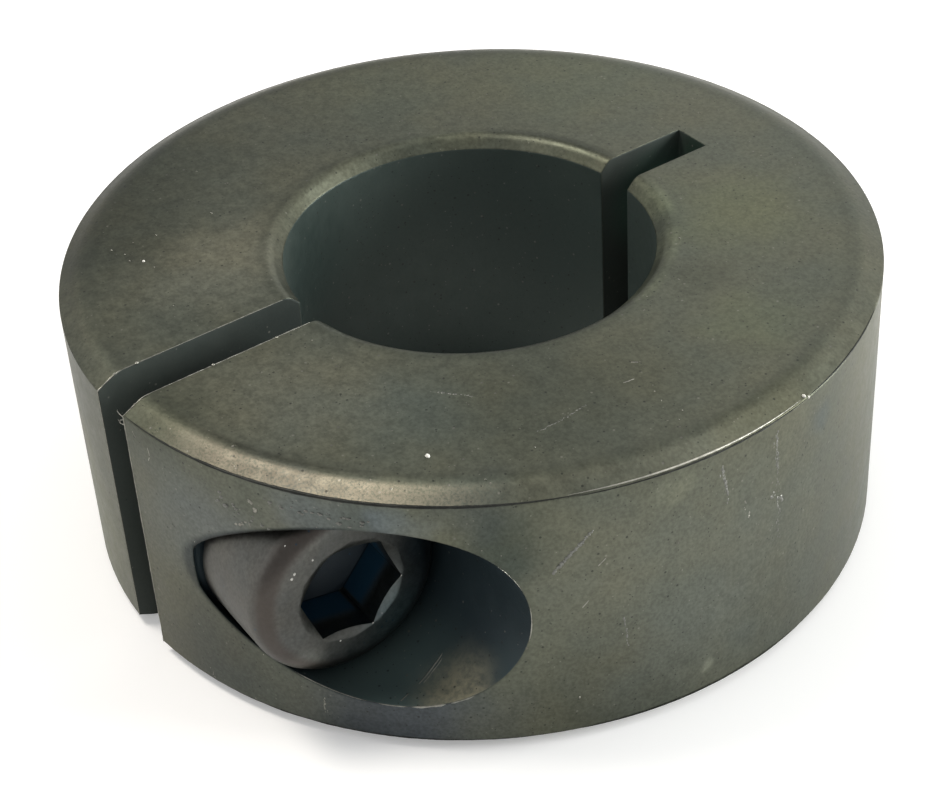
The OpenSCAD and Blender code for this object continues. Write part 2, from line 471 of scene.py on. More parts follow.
def ringSteel(s):
    material, tree, shader = newMaterial("ringBlackSteel")
    place = millimetres(tree)
    stir = put(tree, "TexNoise", {"Vector": place, "Scale": 0.4, "Detail": 2.0}).outputs[1]
    centred = vecCalc(tree, "SUBTRACT", stir, (0.5, 0.5, 0.5))
    shift = put(tree, "VectorMath", {0: centred, "Scale": s["stir"]}, operation="SCALE").outputs[0]
    stirred = vecCalc(tree, "ADD", place, shift)

    normal = put(tree, "SeparateXYZ", {0: put(tree, "NewGeometry").outputs["Normal"]}).outputs
    flat = vecCalc(tree, "MULTIPLY", place, (1, 1, 0))
    radius = put(tree, "VectorMath", {0: flat}, operation="LENGTH").outputs["Value"]
    across = calc(tree, "ABSOLUTE", put(tree, "SeparateXYZ", {0: place}).outputs[0])
    level = calc(tree, "ABSOLUTE", normal[2])
    upright = ramp(tree, level, 0.5, 0.3)
    lying = ramp(tree, level, 0.3, 0.5)

    depth = ramp(tree, level, 0.3, 0.9, *s["mottleDepth"])
    base = useGroup(tree, mottle, {"Place": place, "Warm": s["warm"], "Cool": s["cool"], "Depth": depth})
    # stains, and painted shade and light, on the top face and the wall
    color = stainAndShadeOver(tree, base.outputs["Color"], stirred, s["stainsAndShading"])

    # the turned chamfers, worn in grains, with the wear shown fully only in one patch where it is also a
    # painted highlight, and a dark reflection painted on the turn beside them
    grain = ramp(tree, cloud(tree, place, 10.0, 2.0, 0.65), 0.32, 0.60, 0.30, 1.0)
    values = {"Place": stirred, "Centre": s["rubHighlight"][0], "Size": s["rubHighlight"][1]}
    bright = useGroup(tree, softPatch, values).outputs["Mask"]
    bright = ramp(tree, bright, 0.0, 1.0, s["paleRub"], 1.0)
    rub = overlap(tree, ramp(tree, radius, *s["rubbed"]), lying, grain, bright)
    turn = overlap(tree, between(tree, radius, s["turnRise"], s["turnFall"]), lying, s["turnShare"])
    color = blendColor(tree, turn, color, s["turned"])
    color = blendColor(tree, rub, color, s["wornAndHighlit"])
    # painted light and shade on the outer chamfer
    rimBand = overlap(tree, ramp(tree, radius, *s["rimBand"]), lying)
    color = stainAndShadeOver(tree, color, place, s["rimLightAndShade"], rimBand)
    # painted shade on the bore's chamfer, then painted light and shade patches on it
    boreBand = overlap(tree, ramp(tree, radius, *s["boreBand"]), lying)
    color = blendColor(tree, boreBand, color, s["boreTurnShade"], "MULTIPLY")
    color = stainAndShadeOver(tree, color, place, s["boreLightAndShade"], boreBand)

    # the bore, the sawn walls of both slots, and the screw's pocket with its soft end, coloured partly as
    # painted light and shade, and a painted shade on the wall round the pocket's mouth
    inBore = overlap(tree, ramp(tree, radius, *s["boreWall"]), upright)
    inSlot = between(tree, radius, s["slotRise"], s["slotFall"])
    inSlot = overlap(tree, inSlot, ramp(tree, across, *s["slotHalf"]), upright)
    along, gap = fromScrew(tree, place, ringShape["pocketRise"])
    skin = calc(tree, "SUBTRACT", gap, ringShape["pocketRadius"])
    inPocket = overlap(tree, ramp(tree, skin, *s["pocketSkin"]), ramp(tree, along, *s["pocketStart"]),
                       ramp(tree, radius, *s["pocketFall"]))
    # painted shade on the wall round the pocket's mouth
    pocketRimShade = overlap(tree, ramp(tree, skin, *s["haloSkin"]), ramp(tree, along, *s["haloEnd"]),
                   ramp(tree, radius, *s["haloRise"]))
    color = blendColor(tree, pocketRimShade, color, s["pocketRimShade"], "MULTIPLY")
    color = blendColor(tree, overlap(tree, inBore, s["boreShare"]), color, s["boredAndShaded"])
    color = blendColor(tree, overlap(tree, inSlot, s["slotShare"]), color, s["sawnAndShaded"])
    color = blendColor(tree, overlap(tree, inPocket, s["pocketShare"]), color, s["pocket"])
    hidden = calc(tree, "MAXIMUM", inPocket, calc(tree, "MAXIMUM", inSlot, inBore))
    color = stainAndShadeOver(tree, color, place, s["shades"], hidden)

    # painted light on the pocket's floor, a warm patch broken into streaks
    drawn = vecCalc(tree, "ADD", place, vecCalc(tree, "MULTIPLY", shift, (0.5, 0.5, 0.5)))
    centre, size, tint = s["paintedGlow"]
    values = {"Place": drawn, "Centre": centre, "Size": size, "Strength": inPocket}
    paintedGlow = useGroup(tree, softPatch, values).outputs["Mask"]
    streak = ramp(tree, cloud(tree, place, 2.2, 3.0, 0.7), 0.3, 0.65, 0.45, 1.0)
    color = blendColor(tree, overlap(tree, paintedGlow, paintedGlow, streak, s["paintedGlowShare"]), color, tint)

    spots = useGroup(tree, specks, {"Place": place, "Scale": 2.4, "Share": 0.42, "Size": 0.17})
    dots = useGroup(tree, specks, {"Place": place, "Scale": 5.0, "Share": 0.22, "Size": 0.22})
    dark = calc(tree, "MAXIMUM", spots.outputs["Dark"], dots.outputs["Dark"])
    light = calc(tree, "MAXIMUM", spots.outputs["Light"], dots.outputs["Light"])
    color = blendColor(tree, overlap(tree, dark, s["pitShare"]), color, s["pit"])
    color = blendColor(tree, overlap(tree, light, s["fleckShare"]), color, s["fleck"])
    tree.links.new(color, shader.inputs["Base Color"])

    rough = calc(tree, "ADD", base.outputs["Roughness"], s["roughness"])
    rough = calc(tree, "MULTIPLY_ADD", inSlot, 0.2, rough)
    tree.links.new(rough, shader.inputs["Roughness"])
    metal = calc(tree, "MULTIPLY_ADD", inSlot, -0.8, 1.0)
    metal = calc(tree, "MULTIPLY_ADD", inBore, -0.6, metal)
    metal = calc(tree, "MULTIPLY_ADD", inPocket, -0.5, metal)
    tree.links.new(metal, shader.inputs["Metallic"])
    height = calc(tree, "MULTIPLY_ADD", dark, -1.2, base.outputs["Height"])
    rounded = put(tree, "Bevel", {"Radius": s["edgeRound"] * mm}, samples=4).outputs[0]
    values = {"Height": height, "Strength": 0.25, "Distance": 0.012 * mm, "Normal": rounded}
    tree.links.new(put(tree, "Bump", values).outputs[0], shader.inputs["Normal"])
    return material


ringBlack = ringSteel(ringFinish)
ring = frame["nodes"]["ring"]
ring.data.materials.clear()
ring.data.materials.append(ringBlack)
print("ring dressed")


# small helpers for meshes, in millimetres

def meshPiece(name, points, faces, material, body):
    mesh = bpy.data.meshes.new(name)
    mesh.from_pydata([point * mm for point in points], [], faces)
    mesh.update()
    mesh.polygons.foreach_set("use_smooth", [True] * len(mesh.polygons))
    mesh.materials.append(material)
    piece = bpy.data.objects.new(name, mesh)
    scene.collection.objects.link(piece)
    if body:
        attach(piece, body)
    return piece


# quads between rows of points, all with the same number of sides
def tubeFaces(rows, sides):
    faces = []
    for i in range(rows - 1):
        for k in range(sides):
            n = (k + 1) % sides
            faces.append((i * sides + k, i * sides + n, (i + 1) * sides + n, (i + 1) * sides + k))
    return faces


def closedTube(rows, sides):
    ends = [tuple(reversed(range(sides))), tuple((rows - 1) * sides + k for k in range(sides))]
    return tubeFaces(rows, sides) + ends


def addBead(points, faces, path, radii, sides=6):
    first = len(points)
    for i, spot in enumerate(path):
        ahead = (path[min(i + 1, len(path) - 1)] - path[max(i - 1, 0)]).normalized()
        guide = Vector((0, 0, 1)) if abs(ahead.z) < 0.9 else Vector((1, 0, 0))
        side = ahead.cross(guide).normalized()
        over = side.cross(ahead)
        for k in range(sides):
            turn = 2 * math.pi * k / sides
            points.append(spot + (side * math.cos(turn) + over * math.sin(turn)) * radii[i])
    for i in range(len(path) - 1):
        low = first + i * sides
        for k in range(sides):
            n = (k + 1) % sides
            faces.append((low + k, low + sides + k, low + sides + n, low + n))
    last = first + (len(path) - 1) * sides
    faces.append(tuple(first + k for k in range(sides)))
    faces.append(tuple(last + k for k in reversed(range(sides))))


def addChip(points, faces, centre, size, seed, fine=2):
    first = len(points)
    chip = bmesh.new()
    bmesh.ops.create_icosphere(chip, subdivisions=fine, radius=1.0)
    for vertex in chip.verts:
        away = vertex.co.normalized()
        bumpy = 1 + 0.45 * noise.noise(away * 1.7 + Vector((seed * 3.1, seed * 1.7, seed)))
        points.append(centre + Vector((away.x * size[0], away.y * size[1], away.z * size[2])) * bumpy)
    faces.extend(tuple(first + vertex.index for vertex in face.verts) for face in chip.faces)
    chip.free()


# bare steel of the turned lip, the burrs and the scratches, and dark steel for the bead of painted shade

burrFinish = {
    "bright": (0.33, 0.325, 0.285, 1),
    "dull": (0.20, 0.198, 0.172, 1),
    "roughness": 0.36,
}
scuffFinish = {
    "bright": (0.215, 0.218, 0.200, 1),
    "dull": (0.165, 0.168, 0.154, 1),
    "roughness": 0.45,
}
# dark steel for the bead of painted shade beside the lip
shadeFinish = {
    "bright": (0.046, 0.048, 0.044, 1),
    "dull": (0.030, 0.032, 0.030, 1),
    "roughness": 0.5,
}


lipFinish = {
    "bright": (0.35, 0.345, 0.305, 1),
    "dull": (0.28, 0.277, 0.245, 1),
    "roughness": 0.36,
    # a painted highlight on the lip's middle and a painted shade on its right part
    "stainsAndShading": [
        (onWall(-6, 12.6), 6.0, (1.7, 1.7, 1.7, 1)),
        (onWall(10, 12.6), 3.5, (0.55, 0.55, 0.55, 1)),
    ],
}


def burrSteel(name, s):
    material, tree, shader = newMaterial(name)
    place = millimetres(tree)
    values = {"Place": place, "Warm": s["bright"], "Cool": s["dull"], "Cloud Scale": 0.9}
    base = useGroup(tree, mottle, values)
    color = stainAndShadeOver(tree, base.outputs["Color"], place, s.get("stainsAndShading", []))
    tree.links.new(color, shader.inputs["Base Color"])
    rough = calc(tree, "ADD", base.outputs["Roughness"], s["roughness"])
    tree.links.new(rough, shader.inputs["Roughness"])
    shader.inputs["Metallic"].default_value = 1.0
    values = {"Height": base.outputs["Height"], "Strength": 0.3, "Distance": 0.01 * mm}
    tree.links.new(put(tree, "Bump", values).outputs[0], shader.inputs["Normal"])
    return material


burrBare = burrSteel("burrSteel", burrFinish)
lipBare = burrSteel("lipSteel", lipFinish)
scuffBare = burrSteel("scuffSteel", scuffFinish)
shadeDark = burrSteel("shadedSteel", shadeFinish)
print("bare steels made")


# thin lip left by the turning tool along the outer edge of both chamfers, and a dark bead beside it as
# painted shade

rimLip = {
    # from and to in degrees, thickness, and how far it lies up the chamfer
    "lip": [
        (-24, 11.2, 0.047, 0.085),
        (-66, -45, 0.014, 0.0),
        (60, 200, 0.012, 0.0),
        (-175, -98, 0.012, 0.0),
    ],
    # runs of the dark bead laid along the rim as painted shade
    "shade": [
        (-86.2, -22, 0.075, 0.03),
        (-23, 12.5, 0.040, -0.02),
        (12, 34, 0.045, 0.02),
        (34, 266, 0.018, 0.0),
    ],
    "sunk": 0.012,
    "lowShare": 0.7,            # the lower rim's lip is finer
    "slope": 0.53,              # rise of the chamfer for each millimetre inward
}


def rimRun(s, height, sign, start, end, size, inward=0.0):
    count = max(20, int(abs(end - start) * 4))
    path, radii = [], []
    for i in range(count + 1):
        angle = start + (end - start) * i / count
        spot = onWall(angle, height + sign * inward * s["slope"], -s["sunk"] - inward)
        rough = noise.noise(spot * 1.3) + 0.6 * noise.noise(spot * 4.7)
        taper = math.sin(math.pi * i / count) ** 0.6
        radii.append(max(0.004, size * (1 + 0.24 * rough) * (0.08 + 0.92 * taper)))
        path.append(spot)
    return path, radii


def makeRimLips(s):
    points, faces, darkPoints, darkFaces = [], [], [], []
    rims = [(ringShape["top"] - ringShape["rimDrop"], 1, 1.0), (ringShape["rimDrop"], -1, s["lowShare"])]
    for height, sign, share in rims:
        for start, end, size, inward in s["lip"]:
            addBead(points, faces, *rimRun(s, height, sign, start, end, size * share, inward), 8)
        for start, end, size, inward in s["shade"]:
            addBead(darkPoints, darkFaces, *rimRun(s, height, sign, start, end, size * share, inward))
    meshPiece("rimLips", points, faces, lipBare, "ring")
    meshPiece("rimShade", darkPoints, darkFaces, shadeDark, "ring")


makeRimLips(rimLip)
print("rim lips made")


# burrs along the sawn slit, with loose whiskers at its outer corner

slitBurr = {
    "step": 0.06,
    "thin": 0.016,
    "thick": 0.05,
    "start": 0.2,               # past the bore's chamfer
    "raggedFrom": 15.6,         # the far jaw's edge grows ragged from here outwards
    "raggedLength": 1.9,
    "raggedNear": 0.15,         # on the pocket's jaw
    "softTurn": 0.09,
    "rows": 180,                # steps down the outer edge
    "rubbed": 1.9,              # the outer edge of the pocket's jaw is so much thicker
    "chips": [(-1.05, -15.6, 0.07), (1.05, -13.3, 0.06), (1.07, -10.35, 0.05), (-1.06, -16.6, 0.06)],
    "whiskerHeight": 12.42,
    "whiskerRoot": 0.02,
    "whiskerTaper": 0.012,
    # knots of each whisker, from the outer corner of the pocket's jaw
    "whiskers": [
        [(0, 0, 0.02), (-0.2, -0.05, 0.1), (-0.42, -0.02, 0.1), (-0.55, 0.06, 0.05)],
        [(0, 0, -0.35), (-0.1, -0.12, -0.28), (-0.2, -0.14, -0.12)],
        [(0, 0, -0.1), (-0.14, -0.1, -0.16), (-0.18, -0.06, -0.34)],
    ],
}


# height of the top face and its chamfer at a distance from the bore's axis
def topProfile(s, reach):
    past = reach - ringShape["radius"] + ringShape["rimReach"]
    drop = ringShape["rimDrop"] * past / ringShape["rimReach"]
    soft = math.sqrt(drop * drop + s["softTurn"] ** 2) * 0.5 + drop * 0.5
    return ringShape["top"] - soft


def topBurr(s, side):
    x = side * ringShape["slitHalf"]
    out = math.sqrt(ringShape["radius"] ** 2 - x * x)
    count = int((out - ringShape["boreEdge"]) / s["step"])
    first = ringShape["boreEdge"] + s["start"]
    path, radii = [], []
    for i in range(count + 1):
        y = -first - (out - first) * i / count
        spot = Vector((x, y, topProfile(s, math.hypot(x, y))))
        rough = 0.5 + 0.5 * noise.noise(spot * 1.1) + 0.5 * noise.noise(spot * 5.3)
        ragged = max(0.0, (-y - s["raggedFrom"]) / s["raggedLength"]) if side < 0 else s["raggedNear"]
        grown = s["thin"] * (0.6 + rough) + (s["thick"] - s["thin"]) * ragged * max(rough, 0)
        radii.append(max(0.008, grown))
        path.append(spot + Vector((0, 0, -0.004)))
    return path, radii


def outerBurr(s, side):
    x = side * ringShape["slitHalf"]
    out = math.sqrt(ringShape["radius"] ** 2 - x * x)
    share = s["rubbed"] if side > 0 else 1.0
    path, radii = [], []
    for i in range(s["rows"] + 1):
        height = ringShape["rimDrop"] + (ringShape["top"] - 2 * ringShape["rimDrop"]) * i / s["rows"]
        spot = Vector((x, -out, height))
        rough = 0.5 + 0.5 * noise.noise(spot * 1.4) + 0.4 * noise.noise(spot * 6.1)
        radii.append(max(0.006, s["thin"] * (0.4 + 0.8 * rough) * share))
        path.append(spot)
    return path, radii


def whiskerRun(s, corner, knots):
    spots = [corner + Vector(knot) for knot in knots]
    path = []
    for a, b in zip(spots, spots[1:]):
        path.extend(a.lerp(b, k / 5) for k in range(5))
    path.append(spots[-1])
    return path, [s["whiskerRoot"] - s["whiskerTaper"] * k / len(path) for k in range(len(path))]


def makeSlitBurrs(s):
    points, faces = [], []
    for side in (-1, 1):
        addBead(points, faces, *topBurr(s, side))
        addBead(points, faces, *outerBurr(s, side))
    for k, (x, y, size) in enumerate(s["chips"]):
        spot = Vector((x, y, topProfile(s, math.hypot(x, y)) + 0.01))
        addChip(points, faces, spot, (size, size * 1.3, size * 0.7), k + 1)
    half = ringShape["slitHalf"]
    corner = Vector((half, -math.sqrt(ringShape["radius"] ** 2 - half * half), s["whiskerHeight"]))
    for knots in s["whiskers"]:
        addBead(points, faces, *whiskerRun(s, corner, knots), 5)
    meshPiece("slitBurrs", points, faces, lipBare, "ring")


makeSlitBurrs(slitBurr)
print("slit burrs made")


# rubbed edge round the screw pocket

pocketEdge = {
    # angle round the screw in degrees, from and to, and thickness
    "runs": [
        (-96, -85, 0.018),
        (-84, -70, 0.052),
        (-68, -57, 0.030),
        (-14, 8, 0.020),
        (20, 40, 0.010),
        (-125, -100, 0.014),
    ],
    "halvings": 40,
    "farthest": 30.0,
}


# where the pocket's wall leaves the rim, found by halving
def pocketRim(s, angle):
    low, high = 0.0, s["farthest"]
    for k in range(s["halvings"]):
        along = (low + high) / 2
        spot = onPocket(along, angle)
        if math.hypot(spot.x, spot.y) < ringShape["radius"]:
            low = along
        else:
            high = along
    return onPocket(low, angle)


def makePocketEdge(s):
    points, faces = [], []
    for start, end, size in s["runs"]:
        count = max(8, int(abs(end - start) * 2))
        path, radii = [], []
        for i in range(count + 1):
            spot = pocketRim(s, math.radians(start + (end - start) * i / count))
            taper = min(1.0, 6 * i / count, 6 * (count - i) / count)
            rough = 1 + 0.7 * noise.noise(spot * 2.3) + 0.4 * noise.noise(spot * 7.0)
            radii.append(max(0.003, size * rough * taper))
            path.append(spot)
        addBead(points, faces, path, radii)
    meshPiece("pocketEdge", points, faces, lipBare, "ring")


makePocketEdge(pocketEdge)
print("pocket edge made")


# scratches and trains of small flecks, at the places measured in the photograph

scratch = {
    # clean scratches: ends and half width
    "clean": [
        (onTop(-7.6, 12.45), onTop(-4.6, 12.5), 0.038),
        (onTop(-2.6, 11.51), onTop(-1.2, 11.72), 0.045),
        (onWall(-22.7, 6.9), onWall(-21.6, 7.3), 0.030),
        (onWall(-20.6, 8.83), onWall(-19.3, 9.26), 0.030),
        (onWall(-84.9, 12.1), onWall(-84.0, 11.8), 0.020),
        (onWall(-81.7, 11.8), onWall(-81.6, 11.3), 0.024),
        (onWall(-81.6, 11.3), onWall(-82.1, 11.0), 0.026),
        (onPocket(11.8, -1.52), onPocket(11.65, -1.37), 0.040),
        (onPocket(11.62, -1.33), onPocket(11.2, -0.86), 0.042),
        (onPocket(11.72, -1.28), onPocket(11.35, -0.90), 0.032),
    ],
    # bright and dull trains of flecks: ends, spread and number
    "bright": [
        (onWall(0.4, 9.6), onWall(1.7, 8.4), 0.18, 7),
        (onWall(-57.1, 2.0), onWall(-57.1, 1.1), 0.11, 22),
        (onWall(-67.0, 10.0), onWall(-65.2, 10.4), 0.14, 8),
        (onWall(-75.0, 8.2), onWall(-76.2, 7.2), 0.16, 6),
        (onWall(-75.9, 1.1), onWall(-75.4, 0.6), 0.10, 5),
        (onWall(-64.6, 11.6), onWall(-63.6, 11.0), 0.16, 6),
        (onTop(-128.5, 14.8), onTop(-120.5, 13.2), 0.45, 6),
    ],
    "dull": [
        (onTop(-25.5, 14.05), onTop(-20.4, 13.53), 0.07, 30),
        (onTop(-20.4, 13.53), onTop(-15.6, 13.02), 0.07, 24),
        (onTop(-43.9, 11.08), onTop(-34.9, 11.41), 0.05, 26),
        (onWall(6.6, 9.6), onWall(7.3, 6.2), 0.14, 22),
        (onWall(5.4, 8.9), onWall(8.0, 8.3), 0.34, 12),
        (onWall(-3.2, 11.7), onWall(-2.1, 10.2), 0.09, 44),
        (onWall(6.1, 11.9), onWall(6.5, 10.0), 0.09, 34),
        (onWall(-3.4, 11.5), onWall(-1.9, 9.8), 0.2, 12),
        (onWall(5.9, 11.9), onWall(6.6, 9.6), 0.2, 12),
        (onWall(-17.2, 5.9), onWall(-16.6, 4.4), 0.08, 12),
        (onWall(-26.2, 8.94), onWall(-21.0, 10.70), 0.05, 30),
        (onWall(-62, 11.8), onWall(-48, 11.5), 0.35, 22),
        (onWall(-70, 11.2), onWall(-60, 9.9), 0.5, 18),
    ],
    "fleckSize": 0.056,
    "sunk": 0.82,                # share of a fleck that lies below the surface
}


# the pocket's mouth is open, so nothing lies on the wall there
def overPocket(spot):
    if math.hypot(spot.x, spot.y) < ringShape["radius"] - 0.5:
        return False
    away = spot - screwMiddle - Vector((0, 0, ringShape["pocketRise"]))
    along = away.dot(screwAlong)
    return along > 0 and (away - screwAlong * along).length < ringShape["pocketRadius"] + 0.15


# nearest place on the top face, the wall or the pocket, and the way out of it
def ontoSurface(start, spot):
    if start.z > ringShape["top"] - 0.01:
        return Vector((spot.x, spot.y, ringShape["top"])), Vector((0, 0, 1))
    reach = math.hypot(start.x, start.y)
    if reach > ringShape["radius"] - 0.01:
        out = Vector((spot.x, spot.y, 0)).normalized()
        return Vector((out.x * ringShape["radius"], out.y * ringShape["radius"], spot.z)), out
    axis = screwMiddle + Vector((0, 0, ringShape["pocketRise"]))
    along = (spot - axis).dot(screwAlong)
    out = (spot - axis - screwAlong * along).normalized()
    return axis + screwAlong * along + out * ringShape["pocketRadius"], -out


def drift(k, step, seed, row):
    return noise.noise(Vector((k * step, seed, row)))


def addTrain(points, faces, start, end, spread, count, size, seed):
    lean = Vector(abs(part) for part in (end - start).normalized())
    for k in range(count):
        part = (k + 0.5 + 0.5 * drift(k, 2.7, seed * 1.3, 0.4)) / count
        aside = Vector((drift(k, 3.1, seed, 5.5), drift(k, 2.3, seed, 8.5), drift(k, 1.9, seed, 11.5)))
        spot = start.lerp(end, part) + aside * spread
        if overPocket(spot):
            continue
        spot, out = ontoSurface(start, spot)
        grown = size * (1 + 0.9 * drift(k, 1.7, seed * 0.9, 2.2))
        long = Vector((1, 1, 1)) + lean * (1 + 2.0 * abs(drift(k, 2.1, seed, 3.7)))
        addChip(points, faces, spot - out * grown * scratch["sunk"], long * grown, k + seed * 17, 1)


def makeScratches(s):
    points, faces, dullPoints, dullFaces = [], [], [], []
    for start, end, half in s["clean"]:
        path, radii = [], []
        for i in range(13):
            spot, out = ontoSurface(start, start.lerp(end, i / 12))
            wave = Vector((noise.noise(spot * 3.0), noise.noise(spot * 3.0 + Vector((9, 0, 0))), 0)) * 0.03
            path.append(ontoSurface(start, spot + wave)[0] - out * half * 0.62)
            radii.append(half * max(0.12, min(1.0, 0.5 * i, 0.4 * (12 - i))))
        addBead(points, faces, path, radii)
    for k, train in enumerate(s["bright"]):
        addTrain(points, faces, *train, s["fleckSize"] * 0.85, k + 1)
    for k, train in enumerate(s["dull"]):
        addTrain(dullPoints, dullFaces, *train, s["fleckSize"] * 0.95, k + 31)
    meshPiece("brightScratches", points, faces, burrBare, "ring")
    meshPiece("dullScratches", dullPoints, dullFaces, scuffBare, "ring")


makeScratches(scratch)
print("scratches made")


# pale dust and metal specks lying on the ring, and the chip knocked up on the rim, pale as a painted glint

dust = {
    "warm": (0.72, 0.71, 0.66, 1),
    "cool": (0.62, 0.62, 0.58, 1),
    # angle, radius and size of each speck on the top face
    "top": [(-41.8, 15.08, 0.118), (-122.0, 13.87, 0.072), (-122.4, 14.47, 0.06), (-126.0, 15.33, 0.06),
            (-124.6, 14.73, 0.045), (-130.4, 13.55, 0.06), (-139.2, 11.58, 0.07), (-151.3, 11.93, 0.045),
            (-106.2, 12.96, 0.05), (-77.0, 9.60, 0.05), (48.2, 8.96, 0.07), (29.3, 9.51, 0.045),
            (18.8, 8.9, 0.035), (-26.4, 14.93, 0.05), (-4.2, 13.58, 0.045), (-4.7, 14.2, 0.04),
            (-3.6, 15.17, 0.04), (-5.2, 15.56, 0.04), (-33.8, 16.5, 0.04), (-152.9, 13.79, 0.035),
            (96.0, 14.2, 0.04), (140.0, 12.1, 0.045), (74.0, 15.3, 0.035), (162.0, 10.4, 0.03)],
    # angle, height and size on the wall
    "wall": [(-23.3, 2.23, 0.06), (-17.4, 5.1, 0.035), (-65.7, 3.38, 0.035), (-9.0, 7.4, 0.03),
             (38.0, 6.0, 0.04), (101.0, 8.2, 0.04), (171.0, 4.6, 0.04), (-128.0, 7.1, 0.035)],
    # the chip knocked up on the rim, in the pale dust colour as a painted glint
    "nick": [
        (onTop(11.8, 17.39, -0.41), (0.090, 0.065, 0.055)),
        (onTop(12.4, 17.48, -0.52), (0.045, 0.045, 0.07)),
    ],
    "pale": 2,                  # so many of the top's specks are pale, the others only glint
}


def dustAndGlintCoat(s):
    material, tree, shader = newMaterial("paleDustAndGlint")
    values = {"Place": millimetres(tree), "Warm": s["warm"], "Cool": s["cool"], "Cloud Scale": 2.0}
    base = useGroup(tree, mottle, values)
    tree.links.new(base.outputs["Color"], shader.inputs["Base Color"])
    shader.inputs["Roughness"].default_value = 0.7
    return material


def makeDust(s):
    points, faces, glintPoints, glintFaces = [], [], [], []
    for k, (angle, radius, size) in enumerate(s["top"]):
        into = (points, faces) if k < s["pale"] else (glintPoints, glintFaces)
        grown = size if k < s["pale"] else size * 0.8
        long = 1.0 + 0.5 * noise.noise(Vector((k * 1.9, 3.3, 7.1)))
        addChip(*into, onTop(angle, radius, grown * 0.15), (grown * long, grown * 0.8, grown * 0.45), k + 21)
    for k, (angle, height, size) in enumerate(s["wall"]):
        spot = onWall(angle, height, size * 0.1)
        addChip(glintPoints, glintFaces, spot, (size * 0.5, size * 0.7, size * 0.9), k + 61)
    for k, (spot, size) in enumerate(s["nick"]):
        addChip(points, faces, spot, size, k + 11)
    meshPiece("dustAndNickSpecks", points, faces, paleDustAndGlint, "ring")
    meshPiece("glints", glintPoints, glintFaces, burrBare, "ring")


paleDustAndGlint = dustAndGlintCoat(dust)
makeDust(dust)
print("dust made")


# the cap screw, with its thread, flared hexagon socket and rounded head

capScrew = {
    "seat": 4.42,               # along the axis from the middle of the slit
    "headHeight": 4.8,
    "headRadius": 4.14,
    "headRound": 0.95,
    "sag": 0.10,                # the head lies so much below the axis, by the play in its thread
    "headFoot": 0.25,
    "length": 12.0,
    "threadRadius": 2.49,
    "threadDepth": 0.46,
    "pitch": 0.8,
    "tipChamfer": 0.5,
    "threadStop": 0.5,          # the thread's rows end so far under the head
    "runOut": (1.1, 0.5),       # where under the head the thread fades, and over what length
    "neck": 2.2,
    "faceRings": (0.25, 0.16),  # flat rings inside the rounded edge and round the socket
    "socketCorner": 2.309,
    "socketDepth": 2.5,
    "socketTurn": 50.0,         # degrees from the side towards the top
    "sides": 96,
    "rowsPerTurn": 14,
    "sharp": 32.0,              # degrees
    # bands by distance from the axis, then down from the head's face and up from the socket's floor
    "rustRise": (3.2, 3.65),
    "rustFall": (4.18, 3.9),
    "socketWall": (2.36, 2.30),
    "rustDown": (1.3, 0.7),
    "socketDown": (0.75, 1.4),
    "floorUp": (0.10, 0.02),
    "rustShare": 0.75,
    "warm": (0.118, 0.115, 0.103, 1),
    "cool": (0.098, 0.103, 0.100, 1),
    "rust": (0.072, 0.061, 0.055, 1),
    "bare": (0.30, 0.29, 0.265, 1),
    # painted shade in the socket, dark blue, also the colour of the dark pits
    "deep": (0.018, 0.068, 0.120, 1),
    "bottom": (0.017, 0.028, 0.037, 1),
    "roughness": 0.40,
    # centre in the head's face by side and rise, size, and what the patch does to the colour: painted shade
    # on the right and lower right, a painted highlight low on the left, and two faint darker patches
    "stainsAndShading": [(3.7, 0.6, 3.0, (0.26, 0.36, 0.46, 1)), (2.6, -2.6, 2.8, (0.84, 1.12, 1.24, 1)),
               (0.4, -3.6, 2.6, (0.86, 0.94, 1.02, 1)), (-2.9, 0.2, 1.6, (0.86, 0.85, 0.84, 1)),
               (-2.4, -3.2, 1.5, (1.95, 2.00, 1.95, 1))],
    # side, rise and size of the pale specks on the face; the last two, at the socket's corners, are painted
    # glints on the corner edges
    "specks": [(-2.35, 2.10, 0.055), (-2.50, 1.92, 0.060), (-1.52, 2.37, 0.045), (-2.38, 3.22, 0.035),
               (-0.74, -2.28, 0.04), (2.26, -0.41, 0.030), (0.78, -2.16, 0.028)],
}


def onFace(s, side, rise):
    top = s["seat"] + s["headHeight"]
    return screwMiddle + screwAlong * top + screwSide * side + Vector((0, 0, rise))


